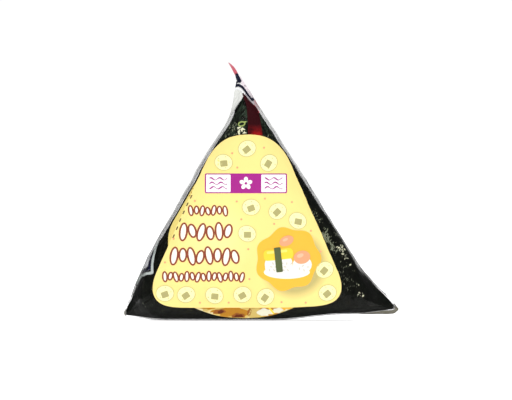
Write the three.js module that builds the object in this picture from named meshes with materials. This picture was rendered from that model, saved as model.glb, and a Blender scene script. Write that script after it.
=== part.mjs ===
// A triangular rice ball wrapped in seaweed and packed in clear film, standing on its base.
// Millimetres, +Z up, +X to the right of the shown face, which looks along -Y.
import * as THREE from "three";

// Driving dimensions: the rice triangle inside its pack
const halfDepth = 14.5;
const crown = 1.6;
const crownFadeStart = 2;
const crownFadeEnd = 26;
const lowerRound = 4.5;
const edgeRound = 9;
const roundShare = 0.9;
const foldSetBack = 1.5;

// Where the pinched neck of the film starts, and where its folded tip ends
const neckHeight = 81.5;
const tipHeight = 86.3;

// Thin pieces lie on the film in two layers
const layerGap = 0.3;
const sheetThickness = 0.35;
const lowerLayer = layerGap;
const upperLayer = 2 * layerGap + sheetThickness;

// Height against the reach of the film's left and right edges, read up from the base
const leftReach = through([
  [0, -47.2], [1.2, -48.3], [5.1, -47.0], [11.7, -44.5], [22, -39.8], [42.5, -28.1],
  [60.4, -18.1], [70.1, -12.0], [77.4, -9.8], [80.6, -9.5], [82, -9.1], [83.5, -8.8], [tipHeight, -9.4],
]);
const rightReach = through([
  [0, 46.2], [2.8, 48.2], [4.6, 47.5], [10.7, 42.0], [15.2, 37.7], [18.4, 34.6], [22.5, 31.9], [28.4, 28.3],
  [45.9, 17.4], [75.9, -1.3], [78.1, -2.7], [81.5, -4.9], [83.4, -6.1], [tipHeight, -8.1],
]);

// Height against the slack of the film beyond the wrapped rice at either side
const leftSlack = through([
  [0, 9.5], [3, 6.1], [7, 3.1], [12, 1.9], [22, 0.9], [60, 0.7], [70, 1.6], [77, 2.2], [neckHeight, 0.8],
  [tipHeight, 0.2],
]);
const rightSlack = through([
  [0, 14.2], [3, 12], [7, 8], [12, 4.1], [18.4, 1], [30, 0.5], [65, 0.5], [76, 1.4], [neckHeight, 1],
  [tipHeight, 0.2],
]);

// Height against the half depth of the pack above its rounded lower edge
const depthAt = through([
  [0, halfDepth], [50, halfDepth], [60, 13.9], [68, 11.8], [73, 9.1], [77, 5.6], [80, 2.5], [neckHeight, 1.4],
  [84, 0.75], [tipHeight, 0.5],
]);

// The soft base lies flat in its middle and lifts a little towards each pinched corner
const flatFrom = -36;
const flatTo = 4;
const leftLift = 0.9;
const rightLift = 2.0;
const liftRun = 24;
const leftLiftRun = 9;
const liftFade = 11;

// A smooth curve through value pairs that never overshoots them
function through(pairs) {
  const slopes = pairs.slice(1).map(([h, v], i) => (v - pairs[i][1]) / (h - pairs[i][0]));
  const tangents = pairs.map((pair, i) => {
    if (i === 0) return slopes[0];
    if (i === pairs.length - 1) return slopes[i - 1];
    const [before, after] = [slopes[i - 1], slopes[i]];
    return before * after <= 0 ? 0 : (2 * before * after) / (before + after);
  });
  return (height) => {
    const h = THREE.MathUtils.clamp(height, pairs[0][0], pairs[pairs.length - 1][0]);
    const i = Math.max(0, pairs.findIndex(([top]) => h <= top) - 1);
    const span = pairs[i + 1][0] - pairs[i][0];
    const t = (h - pairs[i][0]) / span;
    const [s, u] = [1 - t, t];
    return s * s * (1 + 2 * u) * pairs[i][1] + s * s * u * span * tangents[i]
      + u * u * (1 + 2 * s) * pairs[i + 1][1] - u * u * s * span * tangents[i + 1];
  };
}

// The measures of one level section: the film's fold lines, the wrapped rice and its round edges
function sectionAt(height) {
  const left = leftReach(height);
  const right = rightReach(height);
  const bodyLeft = left + leftSlack(height);
  const bodyRight = right - rightSlack(height);
  const below = Math.max(0, lowerRound - height);
  const depth = depthAt(height) - lowerRound + Math.sqrt(lowerRound ** 2 - below ** 2);
  const radius = Math.min(edgeRound, roundShare * depth, (roundShare * (bodyRight - bodyLeft)) / 2);
  const bulge = crown * THREE.MathUtils.smoothstep(tipHeight - height, crownFadeStart, crownFadeEnd);
  return { left, right, bodyLeft, bodyRight, depth, radius, bulge };
}

// Where the film leaves a round edge and runs straight to the fold line beyond it
function tangentTurn(reach, centreX, centreY, radius, foldY) {
  const away = new THREE.Vector2(reach - centreX, centreY - foldY);
  return Math.acos(Math.min(1, radius / away.length())) - Math.atan2(away.y, away.x);
}

// One side of a section, from fold line to fold line: side -1 is the front, side 1 the back
function sideCurve(section, side) {
  const { left, right, bodyLeft, bodyRight, depth, radius, bulge } = section;
  const centreY = depth - radius;
  const fold = side * foldSetBack * Math.min(1, depth / halfDepth);
  const middle = (bodyLeft + bodyRight) / 2;
  const halfFlat = (bodyRight - bodyLeft) / 2 - radius;
  const turns = [
    tangentTurn(2 * middle - left, middle + halfFlat, centreY, radius, fold),
    tangentTurn(right, middle + halfFlat, centreY, radius, fold),
  ];
  const edgePoint = (hand, turn) => new THREE.Vector2(
    middle + hand * (halfFlat + radius * Math.cos(turn)),
    centreY + radius * Math.sin(turn),
  );
  const crownAt = (x) => {
    const share = (x - middle) / (halfFlat + radius);
    return bulge * (1 - share * share);
  };
  return { left, right, fold, middle, halfFlat, depth, turns, edgePoint, crownAt };
}

// Point counts along a section: slack film, round edge, open face
const slackSteps = 3;
const edgeSteps = 5;
const faceSteps = 14;

// The points of one side of the pack at a height, from the left fold line to the right one
function sidePoints(height, side) {
  const curve = sideCurve(sectionAt(height), side);
  const points = [];
  const add = (x, y) => points.push(new THREE.Vector2(x, side * (y + curve.crownAt(x))));
  const run = (hand) => {
    const reach = hand < 0 ? curve.left : curve.right;
    const turn = curve.turns[hand < 0 ? 0 : 1];
    const start = curve.edgePoint(hand, turn);
    const part = [];
    for (let i = 0; i < slackSteps; i++) {
      const t = i / slackSteps;
      part.push([THREE.MathUtils.lerp(reach, start.x, t), THREE.MathUtils.lerp(curve.fold, start.y, t)]);
    }
    for (let i = 0; i < edgeSteps; i++) {
      const point = curve.edgePoint(hand, THREE.MathUtils.lerp(turn, Math.PI / 2, i / edgeSteps));
      part.push([point.x, point.y]);
    }
    return part;
  };
  const leftRun = run(-1);
  const rightRun = run(1).reverse();
  leftRun.forEach(([x, y], i) => {
    if (i === 0) points.push(new THREE.Vector2(x, side * y));
    else add(x, y);
  });
  for (let i = 0; i <= faceSteps; i++) {
    add(curve.middle + curve.halfFlat * ((2 * i) / faceSteps - 1), curve.depth);
  }
  rightRun.forEach(([x, y], i) => {
    if (i === rightRun.length - 1) points.push(new THREE.Vector2(x, side * y));
    else add(x, y);
  });
  return points;
}

// The lift of the base's ends, which fades out up the sides
function lifted(x, y, z) {
  const right = rightLift * THREE.MathUtils.smoothstep(x, flatTo, flatTo + liftRun);
  const left = leftLift * THREE.MathUtils.smoothstep(-x, -flatFrom, -flatFrom + leftLiftRun);
  const fade = Math.max(0, 1 - z / liftFade) ** 2;
  return new THREE.Vector3(x, y, z + (left + right) * fade);
}

// The pack's surface at a place on the front or back
function surfaceY(x, z, side) {
  const points = sidePoints(z, side);
  const i = Math.max(1, points.findIndex((point) => point.x >= x));
  const t = (x - points[i - 1].x) / (points[i].x - points[i - 1].x);
  return THREE.MathUtils.lerp(points[i - 1].y, points[i].y, t);
}

// A point at a height above that surface, along its outward normal
const slopeStep = 0.4;
const lowestRead = 0.01;

function above(x, z, side, height) {
  const across = surfaceY(x + slopeStep, z, side) - surfaceY(x - slopeStep, z, side);
  const slopeX = across / (2 * slopeStep);
  const low = Math.max(lowestRead, z - slopeStep);
  const slopeZ = (surfaceY(x, z + slopeStep, side) - surfaceY(x, low, side)) / (z + slopeStep - low);
  const normal = new THREE.Vector3(-slopeX, 1, -slopeZ).normalize().multiplyScalar(side);
  return lifted(x, surfaceY(x, z, side), z).addScaledVector(normal, height);
}

// A closed mesh from vertices and triangles
function meshFrom(name, vertices, triangles, material) {
  const geometry = new THREE.BufferGeometry().setFromPoints(vertices);
  geometry.setIndex(triangles);
  geometry.computeVertexNormals();
  const mesh = new THREE.Mesh(geometry, material);
  mesh.name = name;
  return mesh;
}

// Two triangles between neighbouring points of two rows
function quad(triangles, a, b, c, d) {
  triangles.push(a, b, c, a, c, d);
}

// The whole pack: level sections joined from the base to the folded tip
function filmPack(material) {
  const levels = [
    0, 0.7, 2, 3.3, lowerRound, 7, 10, 14, 18.4, 23, 28, 34, 40, 46, 52, 57, 62, 66, 70, 73, 75.5, 78, 80,
    neckHeight, 83.2, 84.8, tipHeight,
  ];
  const vertices = [];
  const triangles = [];
  let count = 0;
  for (const level of levels) {
    const front = sidePoints(level, -1);
    const back = sidePoints(level, 1).slice(1, -1).reverse();
    const ring = [...front, ...back];
    count = ring.length;
    vertices.push(...ring.map((point) => lifted(point.x, point.y, level)));
  }
  for (let row = 0; row < levels.length - 1; row++) {
    for (let i = 0; i < count; i++) {
      const next = (i + 1) % count;
      quad(triangles, row * count + i, row * count + next, (row + 1) * count + next, (row + 1) * count + i);
    }
  }
  const closeEnd = (first, facingDown) => {
    const at = (i) => first + ((i + count) % count);
    for (let i = 0; i < count / 2; i++) {
      const corners = [at(i), at(i + 1), at(-i - 1), at(-i)];
      const ring = facingDown ? corners.reverse() : corners;
      if (ring[0] !== ring[3]) triangles.push(ring[0], ring[2], ring[3]);
      if (ring[0] !== ring[1] && ring[1] !== ring[2]) triangles.push(ring[0], ring[1], ring[2]);
    }
  };
  closeEnd(0, true);
  closeEnd((levels.length - 1) * count, false);
  return meshFrom("film_pack", vertices, triangles, material);
}

// A rounded outline from corners that each have a radius
function roundedOutline(corners, steps) {
  const path = new THREE.Path();
  corners.forEach(([x, z, radius], i) => {
    const corner = new THREE.Vector2(x, z);
    const toward = (other) => new THREE.Vector2(other[0], other[1]).sub(corner).normalize();
    const before = toward(corners[(i + corners.length - 1) % corners.length]);
    const after = toward(corners[(i + 1) % corners.length]);
    const cut = radius / Math.tan(before.angleTo(after) / 2);
    const enter = corner.clone().addScaledVector(before, cut);
    const leave = corner.clone().addScaledVector(after, cut);
    if (i === 0) path.moveTo(enter.x, enter.y);
    else path.lineTo(enter.x, enter.y);
    path.quadraticCurveTo(corner.x, corner.y, leave.x, leave.y);
  });
  path.closePath();
  return path.getSpacedPoints(steps).slice(0, steps);
}

// A thin piece stuck on the front: rings of points from its middle to its outline, inner and outer face
function stuckPiece(name, outline, middle, rings, height, material) {
  const vertices = [];
  const triangles = [];
  const count = outline.length;
  const faceSize = 1 + rings.length * count;
  for (const lift of [height, height + sheetThickness]) {
    vertices.push(above(middle.x, middle.y, -1, lift));
    for (const share of rings) {
      for (const point of outline) {
        const place = middle.clone().lerp(point, share);
        vertices.push(above(place.x, place.y, -1, lift));
      }
    }
  }
  for (const face of [0, 1]) {
    const base = face * faceSize;
    const at = (ring, i) => base + 1 + ring * count + (i % count);
    const put = (a, b, c) => triangles.push(...(face ? [a, b, c] : [a, c, b]));
    for (let i = 0; i < count; i++) {
      put(base, at(0, i), at(0, i + 1));
      for (let ring = 0; ring < rings.length - 1; ring++) {
        put(at(ring, i), at(ring + 1, i), at(ring + 1, i + 1));
        put(at(ring, i), at(ring + 1, i + 1), at(ring, i + 1));
      }
    }
  }
  const rim = 1 + (rings.length - 1) * count;
  for (let i = 0; i < count; i++) {
    const next = (i + 1) % count;
    quad(triangles, rim + i, rim + next, faceSize + rim + next, faceSize + rim + i);
  }
  return meshFrom(name, vertices, triangles, material);
}

// A ribbon along the pack's front or back: rows across it from bottom to top
function ribbon(name, side, rows, columns, material) {
  const vertices = [];
  const triangles = [];
  const across = columns + 1;
  const faceSize = rows.length * across;
  for (const lift of [lowerLayer, lowerLayer + sheetThickness]) {
    for (const [z, from, to] of rows) {
      for (let i = 0; i < across; i++) {
        vertices.push(above(THREE.MathUtils.lerp(from, to, i / columns), z, side, lift));
      }
    }
  }
  const at = (face, row, i) => face * faceSize + row * across + i;
  const put = (a, b, c, d) => quad(triangles, ...(side < 0 ? [a, b, c, d] : [d, c, b, a]));
  const last = rows.length - 1;
  for (let row = 0; row < last; row++) {
    for (let i = 0; i < columns; i++) {
      put(at(1, row, i), at(1, row, i + 1), at(1, row + 1, i + 1), at(1, row + 1, i));
      put(at(0, row + 1, i), at(0, row + 1, i + 1), at(0, row, i + 1), at(0, row, i));
    }
    put(at(0, row, 0), at(1, row, 0), at(1, row + 1, 0), at(0, row + 1, 0));
    put(at(0, row + 1, columns), at(1, row + 1, columns), at(1, row, columns), at(0, row, columns));
  }
  for (let i = 0; i < columns; i++) {
    put(at(0, 0, i), at(0, 0, i + 1), at(1, 0, i + 1), at(1, 0, i));
    put(at(0, last, i + 1), at(0, last, i), at(1, last, i), at(1, last, i + 1));
  }
  return meshFrom(name, vertices, triangles, material);
}

// The yellow front label: two broad upper corners make its dome, two small ones its foot
const labelFoot = 4.6;
const labelTop = 64.8;
const labelCorners = [
  [-42.1, labelFoot, 9], [32.2, labelFoot, 9.5], [5.4, labelTop, 15.5], [-14.9, labelTop, 15.5],
];
const labelMiddle = new THREE.Vector2(-6, 28);
const labelPoints = 60;
const labelRings = [0.3, 0.55, 0.73, 0.85, 0.94, 1];

// The round label under it, which reaches down over the pack's rounded lower edge
const roundMiddle = new THREE.Vector2(-7.2, 27.4);
const roundReach = new THREE.Vector2(25.2, 26.4);
const roundPoints = 54;
const roundRings = [0.35, 0.6, 0.76, 0.87, 0.94, 1];
const roundInset = 2.2;

function roundOutline() {
  const ellipse = new THREE.EllipseCurve(roundMiddle.x, roundMiddle.y, roundReach.x, roundReach.y);
  const points = ellipse.getSpacedPoints(roundPoints).slice(0, roundPoints);
  points.forEach((point) => {
    point.x = Math.max(point.x, leftReach(point.y) + roundInset);
  });
  return points;
}

// The red tear strip: height, left edge and right edge of each row
const frontStripRows = [
  [57.5, -4.5, 0.6], [61.5, -4.6, 0.5], [65.5, -4.7, 0.2], [69.5, -4.8, -0.4], [73, -5, -1.3],
  [75.5, -5.4, -2.2], [77.6, -5.8, -3.1],
];
const backStripHalfWidth = 2.55;
const backStripCentre = -2.4;
const backStripTopHalfWidth = 1.2;
const backStripTopCentre = -5.2;
const backStripNarrowsFrom = 66;
const backStripTop = 77.4;
const backStripLevels = [
  5, 12, 20, 28, 36, 44, 51, 57, 62, backStripNarrowsFrom, 69.5, 72.5, 75, backStripTop,
];

// The strip's free end, folded up above the tip and leaning to the left
const tabFoot = new THREE.Vector2(-9.0, tipHeight + layerGap);
const tabTop = new THREE.Vector2(-11.5, 90.1);
const tabWidths = [1.35, 1.5, 0.9];
const tabThickness = 0.9;
const tabLean = 0.35;

function tearStripEnd(material) {
  const along = tabTop.clone().sub(tabFoot);
  const shape = new THREE.Shape();
  const edge = (t, hand) => {
    const bow = tabLean * Math.sin(Math.PI * t);
    const width = tabWidths[Math.round(t * 2)];
    return [tabFoot.x + along.x * t + bow + (hand * width) / 2, tabFoot.y + along.y * t];
  };
  shape.moveTo(...edge(0, -1));
  shape.lineTo(...edge(0, 1));
  shape.lineTo(...edge(0.5, 1));
  shape.lineTo(...edge(1, 1));
  shape.lineTo(...edge(1, -1));
  shape.lineTo(...edge(0.5, -1));
  shape.closePath();
  const geometry = new THREE.ExtrudeGeometry(shape, { depth: tabThickness, bevelEnabled: false });
  const mesh = new THREE.Mesh(geometry, material);
  mesh.name = "tear_strip_end";
  mesh.rotation.x = Math.PI / 2;
  mesh.position.y = tabThickness / 2;
  return mesh;
}

function backRows() {
  return backStripLevels.map((z) => {
    const share = THREE.MathUtils.smoothstep(z, backStripNarrowsFrom, backStripTop);
    const half = THREE.MathUtils.lerp(backStripHalfWidth, backStripTopHalfWidth, share);
    const centre = THREE.MathUtils.lerp(backStripCentre, backStripTopCentre, share);
    return [z, centre - half, centre + half];
  });
}

const seaweedUnderFilm = new THREE.MeshStandardMaterial({ color: 0x151918, roughness: 0.22, metalness: 0 });
const redFilm = new THREE.MeshStandardMaterial({ color: 0x8e1216, roughness: 0.3, metalness: 0 });
const yellowPaper = new THREE.MeshStandardMaterial({ color: 0xfdf3a0, roughness: 0.45, metalness: 0 });
const roundPaper = new THREE.MeshStandardMaterial({ color: 0xf2cf6a, roughness: 0.4, metalness: 0 });
const redTab = new THREE.MeshStandardMaterial({ color: 0xd2415a, roughness: 0.35, metalness: 0 });

const pack = new THREE.Group();
pack.add(filmPack(seaweedUnderFilm));
pack.add(ribbon("tear_strip_front", -1, frontStripRows, 4, redFilm));
pack.add(ribbon("tear_strip_back", 1, backRows(), 4, redFilm));
pack.add(tearStripEnd(redTab));
pack.add(stuckPiece("round_label", roundOutline(), roundMiddle, roundRings, lowerLayer, roundPaper));
const labelOutline = roundedOutline(labelCorners, labelPoints);
pack.add(stuckPiece("front_label", labelOutline, labelMiddle, labelRings, upperLayer, yellowPaper));

// The origin is the middle of the base
const reach = new THREE.Box3().setFromObject(pack, true);
const centre = reach.getCenter(new THREE.Vector3());
pack.position.set(-centre.x, -centre.y, -reach.min.z);

const riceBall = new THREE.Group();
riceBall.add(pack);

export default riceBall;
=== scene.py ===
import math
import random

import bpy
import numpy as np
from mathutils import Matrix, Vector


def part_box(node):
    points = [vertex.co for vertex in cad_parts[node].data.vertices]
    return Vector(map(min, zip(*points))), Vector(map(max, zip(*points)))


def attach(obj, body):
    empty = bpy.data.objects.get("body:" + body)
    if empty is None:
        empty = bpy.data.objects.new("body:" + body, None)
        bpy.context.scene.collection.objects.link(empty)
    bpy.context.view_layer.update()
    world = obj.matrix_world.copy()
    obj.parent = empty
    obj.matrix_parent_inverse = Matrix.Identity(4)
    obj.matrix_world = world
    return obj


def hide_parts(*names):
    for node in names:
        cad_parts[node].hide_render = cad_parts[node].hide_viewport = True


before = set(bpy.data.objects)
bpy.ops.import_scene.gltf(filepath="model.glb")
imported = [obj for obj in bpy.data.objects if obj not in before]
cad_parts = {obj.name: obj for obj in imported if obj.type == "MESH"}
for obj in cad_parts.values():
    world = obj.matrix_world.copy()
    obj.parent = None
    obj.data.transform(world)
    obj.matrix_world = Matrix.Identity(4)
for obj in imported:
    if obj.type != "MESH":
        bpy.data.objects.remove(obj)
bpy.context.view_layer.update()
scene = bpy.context.scene
mm = 0.001


# Helpers for working on one piece at a time

def focus(piece):
    if bpy.context.object and bpy.context.object.mode != "OBJECT":
        bpy.ops.object.mode_set(mode="OBJECT")
    bpy.ops.object.select_all(action="DESELECT")
    piece.select_set(True)
    bpy.context.view_layer.objects.active = piece


def objectMode():
    bpy.ops.object.mode_set(mode="OBJECT")


def editing(piece):
    focus(piece)
    bpy.ops.object.mode_set(mode="EDIT")
    bpy.ops.mesh.select_all(action="SELECT")


def choose(piece, kind, items, chosen):
    # Starts editing with only the chosen faces or points selected
    editing(piece)
    bpy.ops.mesh.select_mode(type=kind)
    bpy.ops.mesh.select_all(action="DESELECT")
    objectMode()
    items.foreach_set("select", chosen)
    bpy.ops.object.mode_set(mode="EDIT")


def chooseFaces(piece, test):
    faces = piece.data.polygons
    choose(piece, "FACE", faces, test(readField(faces, "center") / mm, readField(faces, "normal")))


def modify(piece, kind, **settings):
    focus(piece)
    modifier = piece.modifiers.new(kind.lower(), kind)
    for key, value in settings.items():
        setattr(modifier, key, value)
    bpy.ops.object.modifier_apply(modifier=modifier.name)


def duplicate(piece, name):
    copy = piece.copy()
    copy.data = piece.data.copy()
    copy.name = name
    copy.data.name = name
    for key in list(copy.keys()):
        del copy[key]
    copy.parent = None
    scene.collection.objects.link(copy)
    return copy


def cleanCopy(nodeName, name):
    copy = duplicate(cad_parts[nodeName], name)
    copy.data.materials.clear()
    editing(copy)
    bpy.ops.mesh.customdata_custom_splitnormals_clear()
    bpy.ops.mesh.remove_doubles(threshold=0.001 * mm)
    bpy.ops.mesh.tris_convert_to_quads(face_threshold=math.radians(50),
                                       shape_threshold=math.radians(70))
    objectMode()
    return copy


def settle():
    bpy.ops.object.transform_apply(location=True, rotation=True, scale=True)


def joined(pieces, name):
    focus(pieces[0])
    for piece in pieces:
        piece.select_set(True)
    if len(pieces) > 1:
        bpy.ops.object.join()
    whole = bpy.context.view_layer.objects.active
    settle()
    whole.name = name
    whole.data.name = name
    return whole


def readField(items, key):
    values = np.empty(len(items) * 3)
    items.foreach_get(key, values)
    return values.reshape(-1, 3)


def readPoints(piece):
    return readField(piece.data.vertices, "co") / mm


def readNormals(piece):
    return readField(piece.data.vertices, "normal")


def writePoints(piece, points):
    piece.data.vertices.foreach_set("co", (points * mm).ravel())
    piece.data.update()


def smoothStep(low, high, value):
    share = np.clip((value - low) / (high - low), 0, 1)
    return share * share * (3 - 2 * share)


def finishPiece(piece, material, replaces=None, angle=50):
    focus(piece)
    bpy.ops.object.shade_smooth_by_angle(angle=math.radians(angle))
    piece.data.materials.clear()
    piece.data.materials.append(material)
    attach(piece, "root")
    if replaces:
        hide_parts(replaces)


# Node helpers

def feed(tree, value, socket):
    if isinstance(value, bpy.types.NodeSocket):
        tree.links.new(value, socket)
    else:
        socket.default_value = value


def put(tree, kind, inputs=None, **settings):
    made = tree.nodes.new("ShaderNode" + kind)
    for key, value in settings.items():
        setattr(made, key, value)
    for key, value in (inputs or {}).items():
        feed(tree, value, made.inputs[key])
    return made


def newGroup(name, inputs, outputs):
    made = bpy.data.node_groups.new(name, "ShaderNodeTree")
    for label, kind, value in inputs:
        socket = made.interface.new_socket(label, in_out="INPUT", socket_type="NodeSocket" + kind)
        if value is not None:
            socket.default_value = value
    for label, kind in outputs:
        made.interface.new_socket(label, in_out="OUTPUT", socket_type="NodeSocket" + kind)
    return made, made.nodes.new("NodeGroupInput"), made.nodes.new("NodeGroupOutput")


def newMaterial(name, base, roughness, **values):
    made = bpy.data.materials.new(name)
    made.use_nodes = True
    shader = made.node_tree.nodes["Principled BSDF"]
    shader.inputs["Base Color"].default_value = (*base, 1)
    shader.inputs["Roughness"].default_value = roughness
    for key, value in values.items():
        shader.inputs[key.replace("_", " ")].default_value = value
    return made, made.node_tree, shader


def scaledNoise(tree, scale, detail=3, roughness=0.5, stretch=(1, 1, 1)):
    place = put(tree, "TexCoord")
    spread = put(tree, "Mapping", {"Vector": place.outputs["Object"], "Scale": stretch})
    return put(tree, "TexNoise", {"Vector": spread.outputs["Vector"], "Scale": scale, "Detail": detail,
                                  "Roughness": roughness}).outputs["Fac"]


def ramp(tree, value, low, high):
    return put(tree, "MapRange", {"Value": value, "From Min": low, "From Max": high}).outputs["Result"]


def colourOf(value):
    return (*value, 1) if isinstance(value, tuple) else value


def blend(tree, share, first, second, **settings):
    inputs = {0: share, 6: colourOf(first), 7: colourOf(second)}
    return put(tree, "Mix", inputs, data_type="RGBA", **settings).outputs[2]


def either(tree, share, first, second):
    return put(tree, "Mix", {0: share, 2: first, 3: second}, data_type="FLOAT").outputs[0]


def math2(tree, operation, first, second):
    return put(tree, "Math", {0: first, 1: second}, operation=operation).outputs[0]


def attributeOf(tree, name):
    return put(tree, "Attribute", None, attribute_name=name).outputs["Fac"]


def heightRamp(tree, low, high):
    # 0 at one height in mm, 1 at the other
    place = put(tree, "TexCoord")
    parts = put(tree, "SeparateXYZ", {"Vector": place.outputs["Object"]})
    return ramp(tree, parts.outputs["Z"], low * mm, high * mm)


def spot(tree, centre, radius, soft):
    # 1 inside a round field on the shown face, 0 outside it
    place = put(tree, "TexCoord")
    flat = put(tree, "Mapping", {"Vector": place.outputs["Object"], "Scale": (1, 0, 1)})
    away = put(tree, "VectorMath", {0: flat.outputs["Vector"], 1: (centre[0] * mm, 0, centre[1] * mm)},
               operation="DISTANCE")
    return ramp(tree, away.outputs["Value"], (radius + soft) * mm, (radius - soft) * mm)


def fromLine(a, b, start, end):
    # Where along a line each point lies, from 0 to 1, and how far off it
    da, db = end[0] - start[0], end[1] - start[1]
    along = np.clip(((a - start[0]) * da + (b - start[1]) * db) / (da * da + db * db + 1e-12), 0, 1)
    return along, np.hypot(a - start[0] - along * da, b - start[1] - along * db)


def outlineDistance(x, z, outline):
    # Distance to a closed outline, below zero inside it
    away = np.full(len(x), 1e9)
    inside = np.zeros(len(x), bool)
    for start, end in zip(outline, np.roll(outline, -1, axis=0)):
        away = np.minimum(away, fromLine(x, z, start, end)[1])
        crosses = (start[1] > z) != (end[1] > z)
        across = (z - start[1]) * (end[0] - start[0]) / (end[1] - start[1] + 1e-12)
        inside ^= crosses & (x < start[0] + across)
    return np.where(inside, -away, away)


def labelDistance(x, z):
    return np.minimum(outlineDistance(x, z, frontOutline), outlineDistance(x, z, roundOutline))


def borderOf(piece):
    # The outline of an open sheet, in order
    mesh = piece.data
    counts = {}
    for face in mesh.polygons:
        for key in face.edge_keys:
            counts[key] = counts.get(key, 0) + 1
    following = {}
    for (a, b), count in counts.items():
        if count == 1:
            following.setdefault(a, []).append(b)
            following.setdefault(b, []).append(a)
    start = next(iter(following))
    path, last, now = [start], None, start
    while True:
        step = [n for n in following[now] if n != last]
        last, now = now, step[0]
        if now == start or len(path) > len(following):
            break
        path.append(now)
    points = readPoints(piece)
    return points[path][:, [0, 2]]


def openSheet(nodeName, name, side, levels):
    # The outer face of one of the CAD's stuck pieces, as an open sheet
    sheet = cleanCopy(nodeName, name)
    chooseFaces(sheet, lambda centres, normals: normals[:, 1] * side < 0.1)
    bpy.ops.mesh.delete(type="FACE")
    objectMode()
    modify(sheet, "SUBSURF", levels=levels, render_levels=levels)
    return sheet


roundSheet = openSheet("round_label", "round_label_print", -1, 2)
frontSheet = openSheet("front_label", "front_label_paper", -1, 2)


footValues = {
    "from": 9,
    "to": 4.3,
    "wider": 0.37,
    "widerBase": 0.1,
    "shift": 1.1,
}


def widenFoot(sheet):
    # The round label wraps round the pack's lower edge, so that its foot shows wide from the front
    points = readPoints(sheet)
    x, y, z = points.T
    foot = smoothStep(footValues["from"], footValues["to"], z)
    wide = 1 + footValues["wider"] * foot + footValues["widerBase"] * smoothStep(2.9, 0.9, z)
    x[:] = x.mean() + (x - x.mean()) * wide + footValues["shift"] * foot
    writePoints(sheet, points)


widenFoot(roundSheet)
roundOutline = borderOf(roundSheet)
frontOutline = borderOf(frontSheet)


# The smooth form of the pack, on which everything else is laid
packValues = {
    "foldCrease": 0.75,
    "foldAngle": 52,
    "smoothLevels": 2,
    "lumpSize": 6.5,
    "lumpHeight": 0.5,
    "underLabels": 0.2,
    "cornerEdge": ((34.8, 18.4), (47.9, 4.2)),
}


def makePackForm():
    form = cleanCopy("film_pack", "packForm")
    editing(form)
    bpy.ops.mesh.select_mode(type="EDGE")
    bpy.ops.mesh.select_all(action="DESELECT")
    bpy.ops.mesh.edges_select_sharp(sharpness=math.radians(packValues["foldAngle"]))
    bpy.ops.transform.edge_crease(value=packValues["foldCrease"])
    objectMode()
    levels = packValues["smoothLevels"]
    modify(form, "SUBSURF", levels=levels, render_levels=levels)
    # Smoothing draws the corners in a little, so the width is set back to the CAD's
    points = readPoints(form)
    low, high = (np.array(corner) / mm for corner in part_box("film_pack"))
    for axis in (0, 2):
        own = points[:, axis]
        share = (high[axis] - low[axis]) / (own.max() - own.min())
        points[:, axis] = low[axis] + (own - own.min()) * share
    # The upper edge of the right corner is drawn tight, so that it runs straight
    (x0, z0), (x1, z1) = packValues["cornerEdge"]
    tight = z1 + (x1 - points[:, 0]) * (z0 - z1) / (x1 - x0)
    points[:, 2] -= np.maximum(points[:, 2] - tight, 0) * smoothStep(35, 38, points[:, 0])
    writePoints(form, points)
    lumps = bpy.data.textures.new("riceLumps", "CLOUDS")
    lumps.noise_scale = packValues["lumpSize"] * mm
    lumps.noise_depth = 1
    before = readPoints(form)
    modify(form, "DISPLACE", texture=lumps, strength=packValues["lumpHeight"] * mm, mid_level=0.55)
    after = readPoints(form)
    # The neck and the pinched corners are film alone, so they stay as they are
    x, z = before[:, 0], before[:, 2]
    keep = smoothStep(80, 70, z) * smoothStep(47, 36, np.abs(x)) * smoothStep(0, 6, z)
    # The stiff labels press the rice flat
    least = packValues["underLabels"]
    keep *= np.where(before[:, 1] < 0, least + (1 - least) * smoothStep(-1, 3, labelDistance(x, z)), 1)
    writePoints(form, before + (after - before) * keep[:, None])
    return form


packForm = makePackForm()


def reachAt(z):
    # How far the pack reaches to the left and right at each height, up to the film's tip
    points = readPoints(packForm)
    heights = np.linspace(0, 86.3, 120)
    rows = [points[np.abs(points[:, 2] - height) < 0.7, 0] for height in heights]
    return [np.interp(z, heights, [pick(row) for row in rows]) for pick in (np.min, np.max)]


def layOn(piece, target, height):
    modify(piece, "SHRINKWRAP", target=target, wrap_method="NEAREST_SURFACEPOINT",
           wrap_mode="ABOVE_SURFACE", offset=height * mm)


# The two stuck labels: the round one below, the yellow one over it
labelValues = {
    "roundHeight": 0.10,
    "frontHeight": 0.14,
    "paper": 0.12,
    "overRound": 0.13,
    "overTape": 0.05,
    "tapeMiddle": -2.0,
}

layOn(roundSheet, packForm, labelValues["roundHeight"])
layOn(frontSheet, packForm, labelValues["frontHeight"])


def raiseLabel():
    points, normals = readPoints(frontSheet), readNormals(frontSheet)
    overRound = smoothStep(0.5, -0.5, outlineDistance(points[:, 0], points[:, 2], roundOutline))
    overTape = smoothStep(3.0, 2.4, np.abs(points[:, 0] - labelValues["tapeMiddle"]))
    height = labelValues["overRound"] * overRound + labelValues["overTape"] * overTape
    writePoints(frontSheet, points + normals * height[:, None])


raiseLabel()
print("labels", len(frontSheet.data.polygons), "and", len(roundSheet.data.polygons), "faces")


# Seaweed sheet round the rice
seaweedValues = {
    "underFilm": 0.42,
    "foldInset": 0.95,
    "wrinkleSize": 1.3,
    "wrinkleHeight": 0.16,
    "cuts": [
        ((-7.3, 76.5), (-15.6, 63.9), "left"),
        ((-6.85, 81.15), (-1.55, 75.25), "above"),
        ((33.4, 2.4), (47.4, 4.0), "below"),
        ((-47.2, 1.2), (-44.0, 1.0), "below"),
    ],
}


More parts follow.
